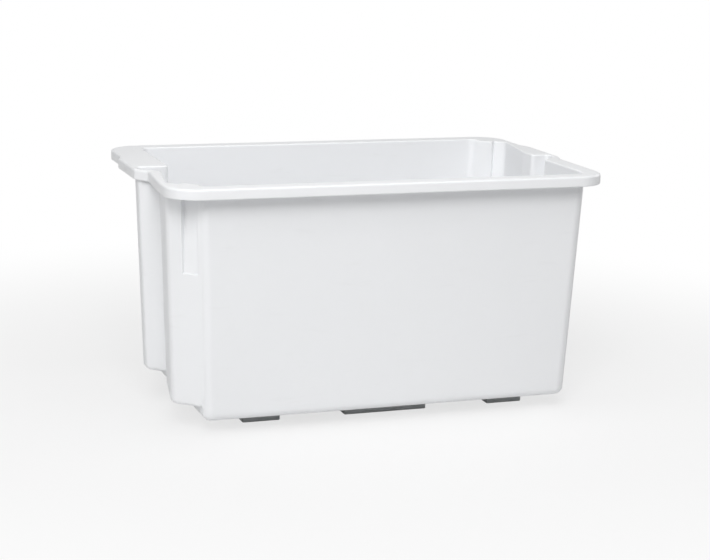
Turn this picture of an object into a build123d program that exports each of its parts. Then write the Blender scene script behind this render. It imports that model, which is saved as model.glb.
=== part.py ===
from build123d import *
import os

# A stack-and-nest plastic tub.
# X runs along the long side, Y from the front side to the back side, Z up.
# The origin is on the floor, under the middle of the rim. Millimetres.

# Overall sizes
rim_length = 645.0
rim_width = 413.0
height = 354.0

# Rim section and plan
rim_plate = 3.5
rim_skirt = 15.0
rim_lip = 3.5
rim_corner = 44.0
rim_round = 5.0
rim_dip = 8.0
rim_dip_round = 40.0

# Handle shelves, where the rim steps out at both ends
shelf_out = 7.5
shelf_front = -42.0
shelf_back = 106.0
shelf_slant = 22.0
shelf_round = 8.0

# Wall shell
wall = 3.0
floor_thick = 4.0
floor_edge = 11.0
base_gap = 21.0
side_overhang = 24.0
right_overhang = 24.0
draft_x = 12.5
draft_y = 13.5
body_corner = 17.0
step_corner = 13.0

# Corner posts, given for the front left one
post_depth = 38.5
post_cover = 6.5
post_set_back = 8.0
post_corner = 66.5
post_corner_draft = 8.0
post_dip = 18.0
post_round = 14.0
post_ledge = 41.0
ledge_thick = 3.5
ledge_edge = 7.0

# Locating groove in the post's slanted face
groove_width = 24.0
groove_depth = 9.0
groove_start = 3.0
groove_ledge = 230.0

# Handle pillars, under the front part of the shelves
pillar_inset = 5.0
pillar_bulge = 25.0
pillar_slant = 22.0
pillar_back = 5.0
pillar_round = 9.0
pillar_ledge = 61.0
pillar_lap = 8.0

# Feet, three in a row, set in from the edges of the base
foot_side_inset = 53.0
foot_left_inset = 69.5
foot_right_inset = 47.5
foot_deep = 36.0
foot_edge = 2.0
foot_middle = 21.5
end_foot_length = 56.0
middle_foot_length = 127.0

# How far the end, corner and rim corner pieces reach before the next piece starts
end_reach = 22.5
corner_reach = 32.5
rim_corner_short = 2.0

# Levels and half sizes that follow
half_length = rim_length / 2
half_width = rim_width / 2
wall_top = height - rim_plate
skirt_bottom = height - rim_skirt
floor_top = base_gap + floor_thick
post_floor_z = post_ledge + ledge_thick
pillar_floor_z = pillar_ledge + ledge_thick
left_overhang = post_depth + post_cover
body_left = left_overhang - half_length
body_right = half_length - right_overhang
body_side = half_width - side_overhang
shelf_edge = half_length + shelf_out
beyond = rim_length

# Planes that divide the shell and the rim into pieces
split_x = half_length - left_overhang - end_reach
split_y = body_side - corner_reach
rim_split_y = half_width - post_corner + rim_corner_short


def outline(points, radii, z):
    line = FilletPolyline(*points, radius=radii, close=True)
    return Pos(0, 0, z) * make_face(line)


def inset(face, amount):
    return offset(face, amount=-amount, kind=Kind.INTERSECTION)


def tapered(top_points, low_points, radii, low_z, shrink=0.0):
    top = outline(top_points, radii, wall_top)
    low = outline(low_points, radii, low_z)
    if shrink:
        top = inset(top, shrink)
        low = inset(low, shrink)
    return loft([top.face(), low.face()], ruled=True)


def part_way(top_points, low_points, low_z, z):
    # Points of a tapered outline at height z, between its top and bottom outlines.
    share = (wall_top - z) / (wall_top - low_z)
    return [
        (a[0] + (b[0] - a[0]) * share, a[1] + (b[1] - a[1]) * share)
        for a, b in zip(top_points, low_points)
    ]


def round_bottom(solid, radius, root_edges=0):
    # The edges nearest the middle of the tub lie inside the body and stay sharp.
    edges = solid.edges().group_by(Axis.Z)[0].sort_by(Axis.X)
    return fillet(edges[: len(edges) - root_edges], radius)


def block(x_span, y_span, z_span):
    spans = (x_span, y_span, z_span)
    sizes = [high - low for low, high in spans]
    corner = [low for low, high in spans]
    return Pos(*corner) * Box(*sizes, align=(Align.MIN, Align.MIN, Align.MIN))


# Plain tapered body, set back under the back right post as it is under the front left one
set_back_x = -body_left
set_back_y = -shelf_front
body_radii = [step_corner, body_corner, 0, 0, step_corner, body_corner]
body_top = [
    (body_left, -body_side),
    (body_right, -body_side),
    (body_right, set_back_y),
    (set_back_x, set_back_y),
    (set_back_x, body_side),
    (body_left, body_side),
]
body_low = [
    (body_left + draft_x, draft_y - body_side),
    (body_right - draft_x, draft_y - body_side),
    (body_right - draft_x, set_back_y),
    (set_back_x - draft_x, set_back_y),
    (set_back_x - draft_x, body_side - draft_y),
    (body_left + draft_x, body_side - draft_y),
]
body_floor = part_way(body_top, body_low, base_gap, floor_top)
body_outer = tapered(body_top, body_low, body_radii, base_gap)
body_outer = round_bottom(body_outer, floor_edge)
body_inner = tapered(body_top, body_floor, body_radii, floor_top, wall)
body_inner = round_bottom(body_inner, floor_edge - wall)

# Front left corner post, widening the body above its ledge
post_left = body_left - post_depth
post_front = post_set_back - body_side
post_corner_y = post_corner - half_width
post_root = body_left + draft_x + 2 * step_corner
post_end = shelf_front + pillar_lap
post_radii = [0, 0, post_round, 0, 0]
post_top = [
    (post_root, post_front),
    (body_left, post_front),
    (post_left, post_corner_y),
    (post_left + post_dip, post_end),
    (post_root, post_end),
]
post_low = [
    (post_root, post_front + draft_y),
    (body_left + draft_x, post_front + draft_y),
    (post_left + draft_x, post_corner_y + post_corner_draft),
    (post_left + post_dip + draft_x, post_end),
    (post_root, post_end),
]
post_floor = part_way(post_top, post_low, post_ledge, post_floor_z)
post_outer = tapered(post_top, post_low, post_radii, post_ledge)
post_outer = round_bottom(post_outer, ledge_edge, 1)
post_inner = tapered(post_top, post_floor, post_radii, post_floor_z, wall)
post_inner = round_bottom(post_inner, ledge_edge - wall, 1)

# Groove cut upright into the inner half of the post's slanted face, and the wall behind it
face_start = Vector(body_left, post_front, 0)
face_end = Vector(post_left, post_corner_y, 0)
face_along = (face_end - face_start).normalized()
groove_middle = face_start + face_along * (groove_start + groove_width / 2)
groove_plane = Plane(
    origin=(groove_middle.X, groove_middle.Y, 0), x_dir=face_along, z_dir=(0, 0, 1)
)
groove_reach = 2 * groove_depth
groove = groove_plane * block(
    (-groove_width / 2, groove_width / 2),
    (-groove_depth, groove_reach),
    (groove_ledge, wall_top),
)
groove_boss = groove_plane * block(
    (-groove_width / 2 - wall, groove_width / 2 + wall),
    (-groove_depth - wall, groove_reach),
    (groove_ledge - wall, wall_top),
)

# Left handle pillar
pillar_out = shelf_edge - pillar_inset
pillar_front = shelf_front
pillar_radii = [0, 0, pillar_round, pillar_round, 0]
pillar_top = [
    (post_root, pillar_front),
    (pillar_bulge - pillar_out, pillar_front),
    (-pillar_out, pillar_front + pillar_slant),
    (-pillar_out, pillar_back),
    (post_root, pillar_back),
]
pillar_low = [
    (post_root, pillar_front),
    (pillar_bulge - pillar_out + draft_x, pillar_front),
    (draft_x - pillar_out, pillar_front + pillar_slant),
    (draft_x - pillar_out, pillar_back),
    (post_root, pillar_back),
]
pillar_floor = part_way(pillar_top, pillar_low, pillar_ledge, pillar_floor_z)
pillar_outer = tapered(pillar_top, pillar_low, pillar_radii, pillar_ledge)
pillar_outer = round_bottom(pillar_outer, ledge_edge, 1)
pillar_inner = tapered(pillar_top, pillar_floor, pillar_radii, pillar_floor_z, wall)
pillar_inner = round_bottom(pillar_inner, ledge_edge - wall, 1)

# The whole shell: the post is repeated half a turn round, the pillar mirrored
half_turn = Rot(0, 0, 180)
outer = body_outer + post_outer + half_turn * post_outer
outer = outer + pillar_outer + mirror(pillar_outer, about=Plane.YZ)
outer = outer - groove - half_turn * groove
inner = body_inner + post_inner + half_turn * post_inner
inner = inner + pillar_inner + mirror(pillar_inner, about=Plane.YZ)
inner = inner - groove_boss - half_turn * groove_boss
shell = outer - inner

# Mouth of the shell, for the opening in the rim
mouth_face = inner.faces().sort_by(Axis.Z)[-1]
mouth = extrude(mouth_face, amount=2 * rim_plate, dir=(0, 0, 1))

# Rim outline, dipping in beside the front left post and out at the handle shelves
rim_points = [
    (-half_length, -half_width),
    (half_length, -half_width),
    (half_length, shelf_front),
    (shelf_edge, shelf_front + shelf_slant),
    (shelf_edge, shelf_back - shelf_slant),
    (half_length, shelf_back),
    (half_length, half_width),
    (-half_length, half_width),
    (-half_length, shelf_back),
    (-shelf_edge, shelf_back - shelf_slant),
    (-shelf_edge, shelf_front + shelf_slant),
    (rim_dip - half_length, shelf_front),
    (-half_length, post_corner_y),
]
long_ends = [rim_corner] * 2
shelf_bends = [shelf_round] * 4
rim_radii = long_ends + shelf_bends + long_ends + shelf_bends + [rim_dip_round]
rim_face = outline(rim_points, rim_radii, skirt_bottom)
rim_solid = extrude(rim_face, amount=rim_skirt)
rim_solid = fillet(rim_solid.faces().sort_by(Axis.Z)[-1].edges(), rim_round)
rim_hollow = extrude(inset(rim_face, rim_lip), amount=rim_skirt - rim_plate)
rim = rim_solid - rim_hollow - mouth

nodes = {}
left = (-beyond, -split_x)
middle = (-split_x, split_x)
right = (split_x, beyond)

# Floor
nodes["floor_panel"] = shell & block((-beyond, beyond), (-beyond, beyond), (0, floor_top))

# Long walls and plain corners
full = (floor_top, wall_top)
front = (-beyond, -split_y)
back = (split_y, beyond)
nodes["front_wall"] = shell & block(middle, front, full)
nodes["back_wall"] = shell & block(middle, back, full)
nodes["front_right_corner"] = shell & block(right, front, full)
nodes["back_left_corner"] = shell & block(left, back, full)

# Corner posts, each with its ledge and the step of plain wall under the ledge
under_post = (floor_top, post_ledge)
post_plate = (post_ledge, post_floor_z)
above_post = (post_floor_z, wall_top)
by_front_post = (-beyond, pillar_front)
by_back_post = (-pillar_front, beyond)
for corner, x_span, y_span in (
    ("front_left", left, by_front_post),
    ("back_right", right, by_back_post),
):
    nodes[corner + "_step"] = shell & block(x_span, y_span, under_post)
    nodes[corner + "_ledge"] = shell & block(x_span, y_span, post_plate)
    nodes[corner + "_post"] = shell & block(x_span, y_span, above_post)

# Handle pillars, each with its ledge and the step of plain wall under the ledge
under_pillar = (floor_top, pillar_ledge)
pillar_plate = (pillar_ledge, pillar_floor_z)
above_pillar = (pillar_floor_z, wall_top)
by_pillar = (pillar_front, pillar_back)
for side, x_span in (("left", left), ("right", right)):
    nodes[side + "_pillar_step"] = shell & block(x_span, by_pillar, under_pillar)
    nodes[side + "_pillar_ledge"] = shell & block(x_span, by_pillar, pillar_plate)
    nodes[side + "_handle_pillar"] = shell & block(x_span, by_pillar, above_pillar)

# Plain stretches of the end walls
nodes["left_end_wall"] = shell & block(left, (pillar_back, split_y), full)
nodes["right_end_wall_front"] = shell & block(right, (-split_y, pillar_front), full)
nodes["right_end_wall_middle"] = shell & block(right, (pillar_back, -pillar_front), full)

# Rim rails, rim corners and handle shelves
rim_high = (skirt_bottom, height)
rim_front = (-beyond, -rim_split_y)
rim_back = (rim_split_y, beyond)
nodes["front_rim"] = rim & block(middle, rim_front, rim_high)
nodes["back_rim"] = rim & block(middle, rim_back, rim_high)
for side, x_span in (("left", left), ("right", right)):
    nodes["front_" + side + "_rim_corner"] = rim & block(x_span, rim_front, rim_high)
    nodes["back_" + side + "_rim_corner"] = rim & block(x_span, rim_back, rim_high)
    nodes[side + "_front_rim"] = rim & block(x_span, (-rim_split_y, shelf_front), rim_high)
    nodes[side + "_handle_shelf"] = rim & block(x_span, (shelf_front, shelf_back), rim_high)
    nodes[side + "_back_rim"] = rim & block(x_span, (shelf_back, rim_split_y), rim_high)

# Feet under the floor, in a front row and a back row
foot_near = body_side - draft_y - foot_side_inset
foot_first = body_left + draft_x + foot_left_inset
foot_last = body_right - draft_x - foot_right_inset
foot_rows = {
    "front": (-foot_near, foot_deep - foot_near),
    "back": (foot_near - foot_deep, foot_near),
}
foot_spans = {
    "left": (foot_first, foot_first + end_foot_length),
    "middle": (foot_middle - middle_foot_length / 2, foot_middle + middle_foot_length / 2),
    "right": (foot_last - end_foot_length, foot_last),
}
for row, y_span in foot_rows.items():
    for side, x_span in foot_spans.items():
        foot = block(x_span, y_span, (0, base_gap))
        nodes[row + "_" + side + "_foot"] = fillet(foot.edges().filter_by(Axis.Z), foot_edge)

os.makedirs("parts", exist_ok=True)
for name, node in nodes.items():
    node.label = name
    export_step(node, "parts/" + name + ".step")
    print(name, len(node.solids()), round(node.volume))
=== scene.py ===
import math

import bmesh
import bpy
import numpy as np
from mathutils import Matrix, Vector


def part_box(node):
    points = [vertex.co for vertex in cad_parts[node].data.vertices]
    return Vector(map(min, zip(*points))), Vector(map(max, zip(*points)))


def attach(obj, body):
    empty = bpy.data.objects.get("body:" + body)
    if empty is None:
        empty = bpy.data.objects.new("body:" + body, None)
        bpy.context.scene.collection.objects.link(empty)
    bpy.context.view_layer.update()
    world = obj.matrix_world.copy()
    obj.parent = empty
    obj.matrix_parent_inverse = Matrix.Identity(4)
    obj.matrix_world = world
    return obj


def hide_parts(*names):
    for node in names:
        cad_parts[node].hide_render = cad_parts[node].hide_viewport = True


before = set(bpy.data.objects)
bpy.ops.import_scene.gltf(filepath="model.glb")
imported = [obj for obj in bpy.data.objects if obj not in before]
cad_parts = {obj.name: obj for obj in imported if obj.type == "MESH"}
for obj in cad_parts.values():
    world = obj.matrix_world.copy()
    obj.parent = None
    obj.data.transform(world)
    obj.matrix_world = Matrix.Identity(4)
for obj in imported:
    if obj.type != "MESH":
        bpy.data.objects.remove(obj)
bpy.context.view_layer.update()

mm = 0.001  # plan sizes below are in millimetres, meshes in metres
print("frame loaded:", len(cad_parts), "nodes")

scene = bpy.context.scene
scene.view_settings.view_transform = "Standard"


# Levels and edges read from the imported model, in millimetres

def nodeSpan(node):
    low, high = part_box(node)
    return low / mm, high / mm


rimLow, rimHigh = nodeSpan("front_rim")
wallLow, wallHigh = nodeSpan("front_wall")
floorLow, floorHigh = nodeSpan("floor_panel")
shelfLow, shelfHigh = nodeSpan("left_handle_shelf")
level = {
    "base": floorLow.z,
    "floorTop": floorHigh.z,
    "postLedge": nodeSpan("front_left_ledge")[0].z,
    "pillarLedge": nodeSpan("left_pillar_ledge")[0].z,
    "wallTop": wallHigh.z,
    "skirt": rimLow.z,
    "rimTop": rimHigh.z,
}
edge = {
    "left": nodeSpan("left_end_wall")[0].x,
    "right": nodeSpan("right_end_wall_front")[1].x,
    "side": -wallLow.y,
    "rimEnd": -nodeSpan("front_left_rim_corner")[0].x,
    "rimSide": -rimLow.y,
    "shelf": -shelfLow.x,
    "shelfFront": shelfLow.y,
    "shelfBack": shelfHigh.y,
}
print("levels", {key: round(value, 1) for key, value in level.items()})


# Outlines seen from above

def arcPoints(before, corner, after, radius, steps):
    inward = (corner - before).normalized()
    onward = (after - corner).normalized()
    turn = inward.angle(onward)
    reach = radius * math.tan(turn / 2)
    pull = math.cos(turn / 2)  # weight that makes the curve a true arc
    start = corner - inward * reach
    end = corner + onward * reach
    points = []
    for i in range(steps + 1):
        t = i / steps
        a, b, c = (1 - t) ** 2, 2 * pull * t * (1 - t), t * t
        points.append((start * a + corner * b + end * c) / (a + b + c))
    return points


def traceLoop(corners, radii, steps, spacing, stops=None, counts=None):
    # a closed outline: an arc at each corner, straight runs divided at the spacing
    # stops gives distances before a corner where the run to it is divided instead
    # counts repeats the divisions of an outline traced before
    corners = [Vector(corner) for corner in corners]
    total = len(corners)
    arcs = []
    for i, corner in enumerate(corners):
        arcs.append(arcPoints(corners[i - 1], corner, corners[(i + 1) % total], radii[i], steps[i]))
    points, middles, made = [], [], []
    for i, arc in enumerate(arcs):
        last = arcs[i - 1][-1]
        run = arc[0] - last
        parts = 0
        if stops and i in stops:
            shares = [1 - d / (run.length + (arc[0] - corners[i]).length) for d in stops[i]]
            whole = corners[i] - last
            points += [last + whole * share for share in shares]
        else:
            parts = counts[i] if counts else max(1, math.ceil(run.length / spacing))
            points += [last + run * (k / parts) for k in range(1, parts)]
        made.append(parts)
        middles.append(len(points) + steps[i] // 2)
        points += arc
    return np.array([tuple(p) for p in points]), middles, made


def outwardNormals(ring):
    along = np.roll(ring, -1, 0) - np.roll(ring, 1, 0)
    normal = np.stack([along[:, 1], -along[:, 0]], 1)
    return normal / np.linalg.norm(normal, axis=1)[:, None]


def arcSteps(radius, form):
    return form["wideSteps"] if radius > form["smallRound"] else form["smallSteps"]


def turnAngles(degrees, parts):
    return [math.radians(degrees * i / parts) for i in range(parts + 1)]


tub = {
    "draftX": 12.5, "draftY": 13.5,     # lean of the plain walls from top to base
    "wall": 3.0, "ledgeThick": 3.5,
    "plainRound": 17.0, "stepRound": 13.0, "baseRound": 11.0,
    "setBackY": 42.0, "setBackOut": 12.0, "setBackIn": 4.0,  # the body under the back right post
    # a post: its corner at the top and at the ledge, the end of its slanted face, and the turn into the side
    "postOut": (316.0, 140.0), "postLow": (303.5, 132.0), "postRound": 14.0,
    "faceEnd": (275.7, 176.1), "faceEndRound": 3.0,
    "faceTurn": 271.56, "stepMiddle": (270.7, 180.9),
    "postStart": 37.0, "postStartRound": 30.0, "postStartPlain": 31.0,
    # the handle pillars, and how far their roots move in down to the ledge
    "pillarOut": 325.0, "pillarFront": -20.0, "pillarBack": 5.0, "pillarRound": 9.0,
    "leftRoot": (-299.6, -42.3), "leftRootMove": (11.9, 0.2),
    "rightRoot": (298.5, -43.3), "rightRootMove": 1.3,
    "rootRound": 4.0, "rootGap": 3.0, "rootStations": 3,
    # the recess at the top of each slanted face, in distances from the face's end
    "grooveFrom": 5.4, "grooveTo": 29.4, "faceLength": 46.0, "faceStops": (2.5, 34.0, 40.0),
    "grooveDepth": 9.0, "grooveFloor": 230.0, "grooveSlide": (-2.0, 3.0),
    # its rounded side edges and sill, as a place across or up and a share of the depth
    "grooveEdge": ((-0.8, 0), (-0.2, 0.03), (0.1, 0.12), (0.4, 0.88), (0.7, 0.97), (1.3, 1)),
    "grooveSill": ((-1.0, 0), (-0.3, 0.12), (0.3, 0.88), (1.0, 1)),
    "grooveParts": 4, "grooveRises": (16.0, 60.0, 110.0),
    # how finely the outlines are divided
    "spacing": 7.0, "plainSpacing": 2.0, "smallRound": 8.0, "smallSteps": 6, "wideSteps": 12,
}


def leanIn(point, z, keepY=False):
    # where a point of the plain wall's top edge is at a lower height
    share = (level["wallTop"] - z) / (level["wallTop"] - level["base"])
    x, y = point
    leanX = math.copysign(tub["draftX"] * share, x)
    leanY = 0 if keepY else math.copysign(tub["draftY"] * share, y)
    return (x - leanX, y - leanY)


def grooveStops():
    # distances from the face's end at which the slanted face is divided, rounding the groove's edges
    places = [place for place, _ in tub["grooveEdge"]]
    near = [tub["grooveFrom"] + place for place in places]
    far = [tub["grooveTo"] - place for place in places]
    parts = tub["grooveParts"]
    between = [near[-1] + (far[-1] - near[-1]) * k / parts for k in range(1, parts)]
    return sorted(near + between + far + list(tub["faceStops"]), reverse=True)


def tubCorners():
    # corners of the upper outline with its posts and pillars, in turn round the tub
    left, right, side = edge["left"], edge["right"], edge["side"]
    postZ, pillarZ = level["postLedge"], level["pillarLedge"]
    out, front, back = tub["pillarOut"], tub["pillarFront"], tub["pillarBack"]
    gap = tub["rootGap"]
    corners = {}

    def add(name, top, low, radius, ledge, partner=None):
        # low is the corner's place at its ledge, partner the matching point of the plain body
        corners[name] = {"top": top, "low": low, "round": radius, "ledge": ledge, "partner": partner}

    def addPlain(name, point):
        add(name, point, leanIn(point, postZ), tub["plainRound"], postZ, point)

    def addPillar(name, x, y):
        lowX = math.copysign(out - tub["draftX"], x)
        add(name, (x, y), (lowX, y), tub["pillarRound"], pillarZ)

    def addPillarEnd(name, x):
        low = leanIn((x, back), pillarZ, True)
        add(name, (x, back), low, tub["rootRound"], pillarZ, (x, back + gap))

    def addPost(name, turn):
        # turn is 1 at the back right and -1 half a turn away
        def turned(point):
            return (point[0] * turn, point[1] * turn)

        partner = turned((-left, tub["postLow"][1]))
        end = turned(tub["faceEnd"])
        bend = turned((tub["faceTurn"], side))
        middle = turned(tub["stepMiddle"])
        add(name + "Post", turned(tub["postOut"]), turned(tub["postLow"]), tub["postRound"], postZ, partner)
        add(name + "FaceEnd", end, leanIn(end, postZ), tub["faceEndRound"], postZ, end)
        add(name + "FaceTurn", bend, leanIn(bend, postZ), tub["stepRound"], postZ, middle)

    addPlain("frontRight", (right, -side))
    rightX, rightY = tub["rightRoot"]
    rightLow = (leanIn((right, 0), pillarZ)[0], rightY + tub["rightRootMove"])
    add("rightRoot", (rightX, rightY), rightLow, tub["rootRound"], pillarZ, (right, rightY - gap))
    addPillar("rightPillarFront", out, front)
    addPillar("rightPillarBack", out, back)
    addPillarEnd("rightPillarEnd", right)
    start = (right, tub["postStart"])
    startPlain = (right, tub["postStartPlain"])
    add("rightPostStart", start, leanIn(start, postZ, True), tub["postStartRound"], postZ, startPlain)
    addPost("right", 1)
    addPlain("backLeft", (left, side))
    addPillarEnd("leftPillarEnd", left)
    addPillar("leftPillarBack", -out, back)
    addPillar("leftPillarFront", -out, front)
    leftX, leftY = tub["leftRoot"]
    moveX, moveY = tub["leftRootMove"]
    leftLow = (leftX + moveX, leftY + moveY)
    add("leftRoot", (leftX, leftY), leftLow, tub["rootRound"], pillarZ, (left, leftY))
    addPost("left", -1)
    return corners


def plainOutline():
    left, right, side = edge["left"], edge["right"], edge["side"]
    backY = tub["setBackY"]
    plain, step = tub["plainRound"], tub["stepRound"]
    setBack = [(right, backY), (-left, backY)]
    corners = [(right, -side)] + setBack + [(-left, side), (left, side), (left, -side)]
    radii = [plain, tub["setBackOut"], tub["setBackIn"], step, plain, step]
    lows = [leanIn(corner, level["base"], corner in setBack) for corner in corners]
    steps = [tub["wideSteps"]] * len(corners)
    tops, _, counts = traceLoop(corners, radii, steps, tub["plainSpacing"])
    bottoms, _, _ = traceLoop(lows, radii, steps, tub["plainSpacing"], counts=counts)
    return tops, bottoms


def sampleRing(ring, index):
    whole = np.floor(index).astype(int)
    share = (index - whole)[:, None]
    return ring[whole % len(ring)] * (1 - share) + ring[(whole + 1) % len(ring)] * share


def makeStations():
    # one row of data for each place round the tub
    corners = tubCorners()
    names = list(corners)
    rows = list(corners.values())
    radii = [row["round"] for row in rows]
    steps = [arcSteps(radius, tub) for radius in radii]
    slanted = [i for i, name in enumerate(names) if name.endswith("FaceEnd")]
    stops = {i: grooveStops() for i in slanted}
    top, middles, counts = traceLoop([row["top"] for row in rows], radii, steps, tub["spacing"], stops)
    low, _, _ = traceLoop([row["low"] for row in rows], radii, steps, tub["spacing"], stops, counts)

    # the plain wall's partner of each station, found at the corners and spread between them
    plainTop, plainLow = plainOutline()
    anchors = [(m, row["partner"]) for m, row in zip(middles, rows) if row["partner"]]
    found = [int(np.argmin(np.linalg.norm(plainTop - np.array(p), axis=1))) for _, p in anchors]
    length = np.concatenate([[0], np.cumsum(np.linalg.norm(np.diff(top, axis=0), axis=1))])
    loop = length[-1] + np.linalg.norm(top[0] - top[-1])
    knots = [length[m] for m, _ in anchors]
    for i in range(1, len(found)):
        while found[i] < found[i - 1]:
            found[i] += len(plainTop)
    knots = [knots[-1] - loop] + knots + [knots[0] + loop]
    found = [found[-1] - len(plainTop)] + found + [found[0] + len(plainTop)]
    partner = np.interp(length, knots, found)

    # ledge heights, level along each end and stepping where a pillar's ledge meets a post's
    heights = np.interp(length, [length[m] for m in middles], [row["ledge"] for row in rows])
    middleOf = dict(zip(names, middles))
    heights[middleOf["leftRoot"] + tub["rootStations"]:middleOf["leftPost"]] = level["postLedge"]
    heights[middleOf["rightPillarEnd"]:middleOf["rightPostStart"]] = level["pillarLedge"]
    return {
        "count": len(top), "top": top, "low": low, "normal": outwardNormals(top), "ledge": heights,
        "plainTop": sampleRing(plainTop, partner), "plainLow": sampleRing(plainLow, partner),
        "plainNormal": sampleRing(outwardNormals(plainTop), partner),
        "slanted": [(middles[i - 1], middles[i]) for i in slanted],
        "faceEnds": [np.array(rows[i]["top"]) for i in slanted],
    }


stations = makeStations()
print("stations round the tub:", stations["count"])


# The walls, as rows of points from the underside up the outside and down the inside to the floor

def plainAt(z):
    share = np.reshape((level["wallTop"] - z) / (level["wallTop"] - level["base"]), (-1, 1))
    return stations["plainTop"] + (stations["plainLow"] - stations["plainTop"]) * share


def upperAt(z):
    share = np.reshape((level["wallTop"] - z) / (level["wallTop"] - stations["ledge"]), (-1, 1))
    return stations["top"] + (stations["low"] - stations["top"]) * share


def ringAt(xy, z):
    heights = np.broadcast_to(np.asarray(z, float), (len(xy),))
    return np.column_stack([xy, heights])


def grooveShare():
    # share is 0 on the wall and 1 on the groove's floor
    # slide is how far the inner wall's stations move along the face, and facing is the face's normal
    share = np.zeros(stations["count"])
    slide = np.zeros(stations["count"])
    facing = np.zeros((stations["count"], 2))
    near, far = tub["grooveFrom"], tub["grooveTo"]
    rising = tub["grooveEdge"]
    falling = rising[::-1]
    distances = [near + place for place, _ in rising] + [far - place for place, _ in falling]
    depths = [depth for _, depth in rising + falling]
    slideStops = [0, near, far, tub["faceLength"]]
    slideSizes = [0, *tub["grooveSlide"], 0]
    for (first, last), end in zip(stations["slanted"], stations["faceEnds"]):
        spot = np.arange(first, last)
        away = np.linalg.norm(stations["top"][spot] - end, axis=1)
        share[spot] = np.interp(away, distances, depths)
        slide[spot] = np.interp(away, slideStops, slideSizes)
        facing[spot] = stations["normal"][(first + last) // 2]
    return share, slide, facing


groove, grooveSlide, grooveFacing = grooveShare()


def recessed(xy, z, share):
    # pushes the groove's stations back so that its floor stands upright
    lean = np.sum((stations["top"] - upperAt(z)) * grooveFacing, axis=1)
    depth = np.maximum(tub["grooveDepth"] - lean, 0) * groove
    return xy - grooveFacing * depth[:, None] * share


def innerUpper(z):
    along = np.column_stack([-grooveFacing[:, 1], grooveFacing[:, 0]])
    moved = upperAt(z) - along * grooveSlide[:, None]
    return moved - stations["normal"] * tub["wall"]


ledgeForm = {
    "root": 3.0, "edge": 7.0,           # radii where a ledge leaves the wall and at its outer edge
    "rootRows": 3, "edgeRows": 6,
    "rootMost": 0.3, "edgeMost": 0.6,   # the most of a narrow ledge's width that each may take
    "flatStops": (0.35, 0.7),           # rows across the flat
    "fadeWidth": 6.0,                   # a ledge narrower than this sinks into the wall
    "spreadBelow": 6.0, "spread": 20.0,  # where its rows lie on the plain wall
}


def ledgeRows(wallXY, upperXY, normal, ledgeZ, edgeRadius):
    # rows that lead from the plain wall out along the ledge and round its edge into the upper wall
    width = np.sum((upperXY(ledgeZ) - wallXY(ledgeZ)) * normal, axis=1)
    shown = np.clip(width / ledgeForm["fadeWidth"], 0, 1)[:, None]
    root = np.minimum(ledgeForm["root"], np.maximum(width, 0) * ledgeForm["rootMost"])
    rounding = np.minimum(edgeRadius, np.maximum(width, 0) * ledgeForm["edgeMost"])
    rows = []
    for a in turnAngles(90, ledgeForm["rootRows"]):
        z = ledgeZ - root * (1 - math.sin(a))
        reach = root * (1 - math.cos(a))
        rows.append((wallXY(z) + normal * reach[:, None], z))
    start = wallXY(ledgeZ) + normal * root[:, None]
    end = upperXY(ledgeZ) - normal * rounding[:, None]
    for share in ledgeForm["flatStops"]:
        rows.append((start + (end - start) * share, ledgeZ))
    edgeRows = ledgeForm["edgeRows"]
    for i, a in enumerate(turnAngles(90, edgeRows)):
        z = ledgeZ + rounding * (1 - math.cos(a))
        base = upperXY(ledgeZ + rounding * (i / edgeRows))
        rows.append((base - normal * (rounding * (1 - math.sin(a)))[:, None], z))
    made = []
    for i, (xy, z) in enumerate(rows):
        plainZ = ledgeZ - ledgeForm["spreadBelow"] + ledgeForm["spread"] * i / (len(rows) - 1)
        spread = ringAt(wallXY(plainZ), plainZ)
        made.append(spread + (ringAt(xy, z) - spread) * shown)
    return made


wallForm = {
    "capInset": 2.0, "baseRows": 6,     # the flat bottom starts this far inside its rounded edge
    "outerGap": 8.0, "outerStops": (0.0, 0.35, 0.7, 0.95), "outerEnd": 1.0,  # rows from ledge to groove
    "innerGap": 6.0, "innerStops": (0.05, 0.3, 0.65, 1.0), "innerStart": 5.0,  # rows from groove to ledge
}


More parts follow.
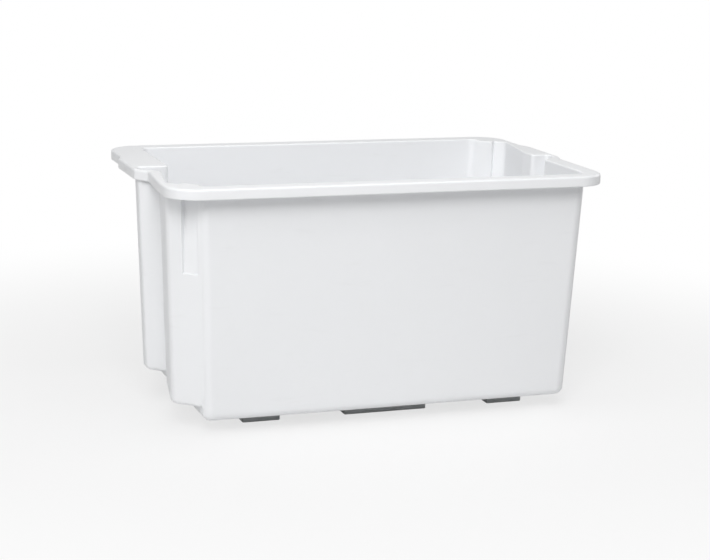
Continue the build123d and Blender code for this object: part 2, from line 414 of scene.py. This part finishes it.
def shellRows():
    rows = []
    top, wall, floorZ = level["wallTop"], tub["wall"], tub["grooveFloor"]
    ledge, normal = stations["ledge"], stations["plainNormal"]
    ledgeEdge = ledgeForm["edge"]

    def innerPlain(z):
        return plainAt(z) - normal * wall

    # underside and rounded bottom edge
    radius = tub["baseRound"]
    edgeZ = level["base"] + radius
    centre = plainAt(edgeZ) - normal * radius
    rows.append(ringAt(centre - normal * wallForm["capInset"], level["base"]))
    for a in turnAngles(90, wallForm["baseRows"]):
        rows.append(ringAt(centre + normal * radius * math.sin(a), edgeZ - radius * math.cos(a)))
    # ledges and outer wall
    rows += ledgeRows(plainAt, upperAt, normal, ledge, ledgeEdge)
    wallStart = ledge + ledgeEdge + wallForm["outerGap"]
    for share in wallForm["outerStops"]:
        z = wallStart + (floorZ - wallForm["outerEnd"] - wallStart) * share
        rows.append(ringAt(upperAt(z), z))
    rises = [(rise, 1) for rise in tub["grooveRises"]]
    for rise, depth in [*tub["grooveSill"], *rises, (top - floorZ, 1)]:
        z = floorZ + rise
        rows.append(ringAt(recessed(upperAt(z), z, depth), z))
    # inner wall, down to the inner ledges
    innerSill = [(rise - wall, depth) for rise, depth in tub["grooveSill"]]
    for rise, depth in [(top - floorZ, 1), *rises[::-1], *innerSill[::-1]]:
        z = floorZ + rise
        rows.append(ringAt(recessed(innerUpper(z), z, depth), z))
    innerLedge = ledge + tub["ledgeThick"]
    innerEnd = innerLedge + ledgeEdge + wallForm["innerGap"]
    innerStart = floorZ - wallForm["innerStart"]
    for share in wallForm["innerStops"]:
        z = innerStart + (innerEnd - innerStart) * share
        rows.append(ringAt(innerUpper(z), z))
    rows += ledgeRows(innerPlain, innerUpper, normal, innerLedge, ledgeEdge - wall)[::-1]
    # rounded inner edge of the floor
    radius = tub["baseRound"] - wall
    edgeZ = level["floorTop"] + radius
    centre = innerPlain(edgeZ) - normal * radius
    for a in turnAngles(90, wallForm["baseRows"]):
        rows.append(ringAt(centre + normal * radius * math.cos(a), edgeZ - radius * math.sin(a)))
    rows.append(ringAt(centre - normal * wallForm["capInset"], level["floorTop"]))
    return rows


# Meshes

meshing = {"weld": 0.02, "least": 0.01, "sharpAngle": 40}  # millimetres, degrees


def sweepRings(bm, rows):
    # joins each row of points to the next
    rings = [[bm.verts.new(Vector(p) * mm) for p in row] for row in rows]
    for lower, upper in zip(rings, rings[1:]):
        for i in range(len(lower)):
            j = (i + 1) % len(lower)
            bm.faces.new((lower[i], lower[j], upper[j], upper[i]))
    return rings


def objectFrom(bm, name):
    mesh = bpy.data.meshes.new(name)
    bm.to_mesh(mesh)
    bm.free()
    made = bpy.data.objects.new(name, mesh)
    scene.collection.objects.link(made)
    return made


def smoothShade(piece):
    mesh = piece.data
    mesh.polygons.foreach_set("use_smooth", [True] * len(mesh.polygons))
    mesh.set_sharp_from_angle(angle=math.radians(meshing["sharpAngle"]))
    weighted = piece.modifiers.new("weightedNormals", "WEIGHTED_NORMAL")
    weighted.keep_sharp = True


def closedPiece(name, rows):
    # a swept body with a flat cap on its first and last row
    bm = bmesh.new()
    rings = sweepRings(bm, rows)
    bm.faces.new(list(reversed(rings[0])))
    bm.faces.new(rings[-1])
    bmesh.ops.remove_doubles(bm, verts=bm.verts, dist=meshing["weld"] * mm)
    bmesh.ops.dissolve_degenerate(bm, edges=bm.edges, dist=meshing["least"] * mm)
    bmesh.ops.recalc_face_normals(bm, faces=bm.faces)
    piece = objectFrom(bm, name)
    smoothShade(piece)
    return piece


tubShell = closedPiece("tub_shell", shellRows())
print("shell faces:", len(tubShell.data.polygons))


rim = {
    "corner": 44.0, "shelfSlant": 22.0, "shelfRound": 8.0,
    "dip": 8.0, "dipRound": 40.0,       # the left edge runs in from the post to the shelf
    "lip": 3.5, "outerRound": 3.2, "mouthRound": 2.5,
    "lipRows": 8, "outerRows": 6, "mouthRows": 5,
    "plateGap": 0.8,                    # the flat top starts this far inside the rounded edge
    "fillet": ((0.0, 0.6), (0.2, 0.2), (0.6, 0.0)),  # reach and drop where the lip meets the plate
    "spacing": 6.0, "smallRound": 20.0, "smallSteps": 4, "wideSteps": 16,
}


def rimOutline():
    end, side, shelf = edge["rimEnd"], edge["rimSide"], edge["shelf"]
    front, back, slant = edge["shelfFront"], edge["shelfBack"], rim["shelfSlant"]
    corner, bend = rim["corner"], rim["shelfRound"]
    rows = [
        (end, -side, corner), (end, front, bend), (shelf, front + slant, bend),
        (shelf, back - slant, bend), (end, back, bend), (end, side, corner),
        (-end, side, corner), (-end, back, bend), (-shelf, back - slant, bend),
        (-shelf, front + slant, bend), (rim["dip"] - end, front, bend),
        (-end, -tub["postOut"][1], rim["dipRound"]), (-end, -side, corner),
    ]
    radii = [radius for _, _, radius in rows]
    steps = [arcSteps(radius, rim) for radius in radii]
    outline, _, _ = traceLoop([(x, y) for x, y, _ in rows], radii, steps, rim["spacing"])
    return outline


def rimBead(outline):
    # rows from the flat top over the rounded edge, round the lip and up to the plate's underside
    normal = outwardNormals(outline)
    top, under, skirt = level["rimTop"], level["wallTop"], level["skirt"]
    radius, lip = rim["outerRound"], rim["lip"]
    rows = [ringAt(outline - normal * (radius + rim["plateGap"]), top)]
    for a in turnAngles(90, rim["outerRows"]):
        inset = outline - normal * radius * (1 - math.sin(a))
        rows.append(ringAt(inset, top - radius * (1 - math.cos(a))))
    half = lip / 2
    for a in turnAngles(180, rim["lipRows"]):
        inset = outline - normal * half * (1 - math.cos(a))
        rows.append(ringAt(inset, skirt + half * (1 - math.sin(a))))
    for reach, drop in rim["fillet"]:
        rows.append(ringAt(outline - normal * (lip + reach), under - drop))
    return rows


def mouthEdge():
    # rows from the top of the inner wall round into the flat top
    top, under, soft = level["rimTop"], level["wallTop"], rim["mouthRound"]
    inner = recessed(innerUpper(under), under, 1)
    rows = [ringAt(inner, under)]
    for a in turnAngles(90, rim["mouthRows"]):
        moved = inner + stations["normal"] * soft * (1 - math.cos(a))
        rows.append(ringAt(moved, top - soft * (1 - math.sin(a))))
    return rows


def makeRim():
    # the bead is swept round the rim's outline, the mouth's edge round the tub's,
    # and the flat plates between them are filled
    bm = bmesh.new()

    def loopEdges(ring):
        return [bm.edges.get((ring[i - 1], ring[i])) for i in range(len(ring))]

    bead = sweepRings(bm, rimBead(rimOutline()))
    mouth = sweepRings(bm, mouthEdge())
    bm.edges.ensure_lookup_table()
    for outer, inner in ((bead[0], mouth[-1]), (bead[-1], mouth[0])):
        border = loopEdges(outer) + loopEdges(inner)
        bmesh.ops.triangle_fill(bm, edges=border, use_beauty=True, normal=(0, 0, 1))
    bmesh.ops.recalc_face_normals(bm, faces=bm.faces)
    piece = objectFrom(bm, "tub_rim")
    smoothShade(piece)
    return piece


tubRim = makeRim()
print("rim faces:", len(tubRim.data.polygons))


foot = {
    "corner": 2.5, "cornerSteps": 4, "spacing": 12.0,
    "sole": 1.5, "soleRows": 3, "soleGap": 0.4,
}


def makeFoot(node):
    # a pad with rounded corners and a softened sole
    low, high = nodeSpan(node)
    corners = [(low.x, low.y), (high.x, low.y), (high.x, high.y), (low.x, high.y)]
    radii = [foot["corner"]] * len(corners)
    steps = [foot["cornerSteps"]] * len(corners)
    outline, _, _ = traceLoop(corners, radii, steps, foot["spacing"])
    normal = outwardNormals(outline)
    sole = foot["sole"]
    rows = [ringAt(outline - normal * (sole + foot["soleGap"]), low.z)]
    for a in turnAngles(90, foot["soleRows"]):
        inset = outline - normal * sole * (1 - math.sin(a))
        rows.append(ringAt(inset, low.z + sole * (1 - math.cos(a))))
    rows.append(ringAt(outline, (low.z + high.z) / 2))
    rows.append(ringAt(outline, high.z))
    return closedPiece(node + "_pad", rows)


footNodes = sorted(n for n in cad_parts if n.endswith("_foot"))
feet = {node: makeFoot(node) for node in footNodes}
print("feet:", len(feet))


# Materials

class Wire:
    # wraps a socket, so that shader maths is written as an expression
    def __init__(self, tree, socket=None):
        self.tree = tree
        self.socket = socket

    def node(self, kind, settings=None, inputs=None, output=0):
        made = self.tree.nodes.new(kind)
        for key, value in (settings or {}).items():
            setattr(made, key, value)
        for key, value in (inputs or {}).items():
            if isinstance(value, Wire):
                self.tree.links.new(value.socket, made.inputs[key])
            else:
                made.inputs[key].default_value = value
        return Wire(self.tree, made.outputs[output] if made.outputs else None)

    def maths(self, operation, first, second):
        return self.node("ShaderNodeMath", {"operation": operation}, {0: first, 1: second})

    def __add__(self, other):
        return self.maths("ADD", self, other)

    def __radd__(self, other):
        return self.maths("ADD", other, self)

    def __sub__(self, other):
        return self.maths("SUBTRACT", self, other)

    def __rsub__(self, other):
        return self.maths("SUBTRACT", other, self)

    def __mul__(self, other):
        return self.maths("MULTIPLY", self, other)

    def __rmul__(self, other):
        return self.maths("MULTIPLY", other, self)


def newTree(name):
    material = bpy.data.materials.new(name)
    material.use_nodes = True
    material.node_tree.nodes.clear()
    return material, Wire(material.node_tree)


def mixColour(wire, factor, first, second):
    return wire.node("ShaderNodeMix", {"data_type": "RGBA"}, {0: factor, 6: first, 7: second}, 2)


def noise(wire, place, scale, detail, roughness=0.5):
    return wire.node("ShaderNodeTexNoise", None, {
        "Vector": place, "Scale": scale, "Detail": detail, "Roughness": roughness})


def shareBetween(wire, value, limits):
    # 0 up to the first limit, rising to 1 at the second
    return wire.node("ShaderNodeMapRange", None, {
        "Value": value, "From Min": limits[0], "From Max": limits[1]})


moulded = {                             # shared by every moulded surface
    "cloud": 7.0, "cloudDetail": 4.0, "cloudShare": 0.7,  # slow change of tone over a wall
    "speckle": 160.0, "speckleShare": 0.3, "fineDetail": 2.0,
    "rub": 46.0, "rubDetail": 5.0, "rubBreakUp": 0.65,
    "rubStretch": (0.25, 0.25, 1.6), "rubLimits": (0.60, 0.74),
    "edgeLimits": (0.52, 0.62),
    "scuffRoughness": 0.12,
    "grainHeight": 0.012, "rippleHeight": 0.10, "scuffDepth": 0.01,
    "bumpStrength": 0.35, "bumpDistance": 0.001, "index": 1.5,
}


def plasticFinish(name, values):
    material, wire = newTree(name)
    place = wire.node("ShaderNodeTexCoord", output="Object")
    cloud = noise(wire, place, moulded["cloud"], moulded["cloudDetail"])
    speckle = noise(wire, place, moulded["speckle"], moulded["fineDetail"])
    grain = noise(wire, place, values["grain"], moulded["fineDetail"])  # fine moulded texture
    ripple = noise(wire, place, values["ripple"], moulded["fineDetail"])  # faint sink marks
    # rub marks, long across the wall and short down it
    rubPlace = wire.node("ShaderNodeMapping", None, {"Vector": place, "Scale": moulded["rubStretch"]})
    rub = noise(wire, rubPlace, moulded["rub"], moulded["rubDetail"], moulded["rubBreakUp"])
    scuff = shareBetween(wire, rub, moulded["rubLimits"])
    # edges that hands and other tubs polish
    bend = wire.node("ShaderNodeNewGeometry", output="Pointiness")
    polish = shareBetween(wire, bend, moulded["edgeLimits"])
    tone = cloud * moulded["cloudShare"] + speckle * moulded["speckleShare"]
    plain = mixColour(wire, tone, values["dark"], values["light"])
    colour = mixColour(wire, scuff * values["scuffShare"], plain, values["scuffed"])
    rough = values["roughness"] + (speckle - 0.5) * values["roughnessSpread"]
    rough = rough + scuff * moulded["scuffRoughness"] - polish * values["edgePolish"]
    height = grain * moulded["grainHeight"] + ripple * moulded["rippleHeight"]
    height = height - scuff * moulded["scuffDepth"]
    bump = wire.node("ShaderNodeBump", None, {
        "Strength": moulded["bumpStrength"], "Distance": moulded["bumpDistance"], "Height": height})
    shader = wire.node("ShaderNodeBsdfPrincipled", None, {
        "Base Color": colour, "Roughness": rough, "Normal": bump, "IOR": moulded["index"]})
    wire.node("ShaderNodeOutputMaterial", None, {"Surface": shader})
    return material


whitePlastic = {
    "light": (0.892, 0.901, 0.915, 1), "dark": (0.868, 0.877, 0.892, 1), "scuffed": (0.80, 0.805, 0.81, 1),
    "roughness": 0.40, "roughnessSpread": 0.12,
    "grain": 1400.0, "ripple": 28.0, "scuffShare": 0.30, "edgePolish": 0.10,
}
rimPlastic = dict(whitePlastic, roughness=0.33)  # smoother where hands hold it
# the feet's mid grey is painted shade: it gives the white plastic the darkness it has in the shadow under
# the tub's base
footShadeGrey = {
    "light": (0.56, 0.575, 0.58, 1), "dark": (0.46, 0.475, 0.48, 1), "scuffed": (0.38, 0.385, 0.39, 1),
    "roughness": 0.62, "roughnessSpread": 0.15,
    "grain": 900.0, "ripple": 120.0, "scuffShare": 0.5, "edgePolish": 0.05,
}

tubShell.data.materials.append(plasticFinish("whitePlasticWall", whitePlastic))
tubRim.data.materials.append(plasticFinish("whitePlasticRim", rimPlastic))
# the feet get the painted shade grey in place of the white plastic
footShadeFinish = plasticFinish("footPadPaintedShade", footShadeGrey)
for piece in feet.values():
    piece.data.materials.append(footShadeFinish)
print("materials:", len(bpy.data.materials))


# What each piece stands for

rimNodes = sorted(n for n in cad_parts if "rim" in n or "shelf" in n)
shellNodes = sorted(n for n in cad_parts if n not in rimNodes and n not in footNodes)
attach(tubShell, "root")
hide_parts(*shellNodes)
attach(tubRim, "root")
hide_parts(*rimNodes)
for node, piece in feet.items():
    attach(piece, "root")
    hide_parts(node)


# Stage, light and camera, in metres

white = (1, 1, 1, 1)
stage = {
    "size": 12.0, "albedo": (0.80, 0.80, 0.80, 1),
    "nearGlow": 0.70, "nearReach": 0.45, "farReach": 1.25,  # white share by the tub, 1 further out
    "mirrored": 0.5,                    # share of the white that shiny surfaces reflect
}


def whiteToCamera(wire):
    # 1 for rays that show the background
    seen = wire.node("ShaderNodeLightPath", output="Is Camera Ray")
    shiny = wire.node("ShaderNodeLightPath", output="Is Glossy Ray")
    through = wire.node("ShaderNodeLightPath", output="Is Transmission Ray")
    return wire.maths("MAXIMUM", wire.maths("MAXIMUM", seen, shiny * stage["mirrored"]), through)


def makeFloor():
    bm = bmesh.new()
    bmesh.ops.create_grid(bm, x_segments=1, y_segments=1, size=stage["size"] / 2)
    floor = objectFrom(bm, "floor")
    material, wire = newTree("paleFloor")
    plain = wire.node("ShaderNodeBsdfDiffuse", None, {"Color": stage["albedo"]})
    glow = wire.node("ShaderNodeEmission", None, {"Color": white, "Strength": 1.0})
    place = wire.node("ShaderNodeTexCoord", output="Object")
    away = wire.node("ShaderNodeVectorMath", {"operation": "LENGTH"}, {0: place}, "Value")
    spread = wire.node("ShaderNodeMapRange", {"interpolation_type": "SMOOTHSTEP"}, {
        "Value": away, "From Min": stage["nearReach"], "From Max": stage["farReach"],
        "To Min": stage["nearGlow"], "To Max": 1.0})
    share = whiteToCamera(wire) * spread
    mixed = wire.node("ShaderNodeMixShader", None, {0: share, 1: plain, 2: glow})
    wire.node("ShaderNodeOutputMaterial", None, {"Surface": mixed})
    floor.data.materials.append(material)


light = {
    "world": 0.18, "aim": (0.0, 0.0, 0.18),
    "lamps": {                          # place, size of the square, power in watts
        "keyLamp": ((-1.15, -2.7, 2.5), 1.6, 72.0),
        "overheadLamp": ((0.0, -0.45, 1.5), 0.9, 6.6),
        "leftLamp": ((-3.2, -0.6, 1.6), 1.6, 17.5),
        "backLamp": ((0.0, 2.6, 2.6), 1.6, 9.0),
        "rightLamp": ((3.0, 0.9, 1.1), 1.6, 15.0),
    },
}


def makeLight():
    world = bpy.data.worlds.new("studio")
    scene.world = world
    world.use_nodes = True
    world.node_tree.nodes.clear()
    wire = Wire(world.node_tree)
    dim = wire.node("ShaderNodeBackground", None, {"Color": white, "Strength": light["world"]})
    bright = wire.node("ShaderNodeBackground", None, {"Color": white, "Strength": 1.0})
    mixed = wire.node("ShaderNodeMixShader", None, {0: whiteToCamera(wire), 1: dim, 2: bright})
    wire.node("ShaderNodeOutputWorld", None, {"Surface": mixed})
    for name, (place, size, power) in light["lamps"].items():
        lamp = bpy.data.lights.new(name, "AREA")
        lamp.shape = "SQUARE"
        lamp.size = size
        lamp.energy = power
        stand = bpy.data.objects.new(name, lamp)
        stand.location = place
        aim = Vector(light["aim"]) - stand.location
        stand.rotation_euler = aim.to_track_quat("-Z", "Y").to_euler()
        scene.collection.objects.link(stand)


view = {                                # angles in radians, lens and sensor in millimetres
    "azimuth": -0.3464, "elevation": 0.2169, "roll": 0.0244,
    "distance": 2.70555, "target": (0.01123, 0.0, 0.17271),
    "lens": 91.516, "sensor": 36.0,
}


def makeCamera():
    azimuth, elevation, roll = view["azimuth"], view["elevation"], view["roll"]
    along = math.cos(elevation)
    back = Vector((math.sin(azimuth) * along, -math.cos(azimuth) * along, math.sin(elevation)))
    right = (-back).cross(Vector((0, 0, 1))).normalized()
    up = right.cross(-back)
    sideways = right * math.cos(roll) + up * math.sin(roll)
    upright = up * math.cos(roll) - right * math.sin(roll)
    place = Vector(view["target"]) + back * view["distance"]
    camera = bpy.data.objects.new("camera", bpy.data.cameras.new("camera"))
    camera.data.lens = view["lens"]
    camera.data.sensor_width = view["sensor"]
    camera.data.sensor_fit = "HORIZONTAL"
    turn = Matrix((sideways, upright, back)).transposed().to_4x4()
    camera.matrix_world = Matrix.Translation(place) @ turn
    scene.collection.objects.link(camera)
    scene.camera = camera


makeFloor()
makeLight()
makeCamera()
print("stage, light and camera set")
